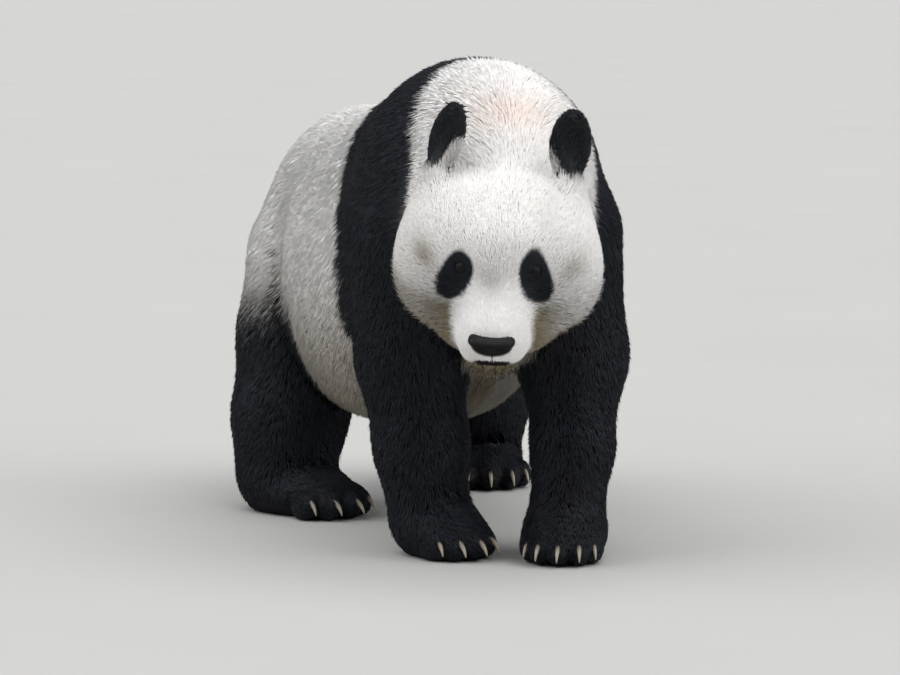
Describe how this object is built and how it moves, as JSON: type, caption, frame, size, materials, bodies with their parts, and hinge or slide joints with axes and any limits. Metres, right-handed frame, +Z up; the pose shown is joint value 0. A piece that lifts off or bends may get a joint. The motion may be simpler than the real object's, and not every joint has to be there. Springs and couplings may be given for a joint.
{
  "type": "giant panda",
  "caption": "Life-size giant panda standing in mid step, head lowered and turned to its right, white coat with black limbs, shoulders, ears and eye patches.",
  "frame": {"origin": "on the floor, under the middle of the animal's box", "axes": "+Z up, +Y from the nose towards the tail, +X to the animal's left"},
  "size_m": [0.6082, 1.3386, 0.7896],
  "materials": {
    "white_coat": "thick cream white fur, beige below the cheeks and grey-brown towards the hips",
    "black_coat": "thick soft black fur with a slight blue sheen on top",
    "nose_leather": "moist black leather with a fine pebble grain",
    "eye_brown": "wet dark brown eye",
    "claw_horn": "horn, ivory with darker roots"
  },
  "bodies": {
    "root": {"chest": "white_coat", "ear_left": "black_coat", "ear_right": "black_coat", "eye_left": "eye_brown", "eye_right": "eye_brown", "foreclaw_left_1": "claw_horn", "foreclaw_left_2": "claw_horn", "foreclaw_left_3": "claw_horn", "foreclaw_left_4": "claw_horn", "foreclaw_left_5": "claw_horn", "foreclaw_right_1": "claw_horn", "foreclaw_right_2": "claw_horn", "foreclaw_right_3": "claw_horn", "foreclaw_right_4": "claw_horn", "foreclaw_right_5": "claw_horn", "foreleg_lower_left": "black_coat", "foreleg_lower_right": "black_coat", "foreleg_upper_left": "black_coat", "foreleg_upper_right": "black_coat", "forepaw_left": "black_coat", "forepaw_right": "black_coat", "head": "white_coat", "hindclaw_left_1": "claw_horn", "hindclaw_left_2": "claw_horn", "hindclaw_left_3": "claw_horn", "hindclaw_left_4": "claw_horn", "hindclaw_left_5": "claw_horn", "hindclaw_right_1": "claw_horn", "hindclaw_right_2": "claw_horn", "hindclaw_right_3": "claw_horn", "hindclaw_right_4": "claw_horn", "hindclaw_right_5": "claw_horn", "hindleg_lower_left": "black_coat", "hindleg_lower_right": "black_coat", "hindleg_upper_left": "black_coat", "hindleg_upper_right": "black_coat", "hindpaw_left": "black_coat", "hindpaw_right": "black_coat", "neck": "white_coat", "nose": "nose_leather", "rump": "white_coat", "tail": "white_coat", "trunk": "white_coat"}
  },
  "joints": []
}
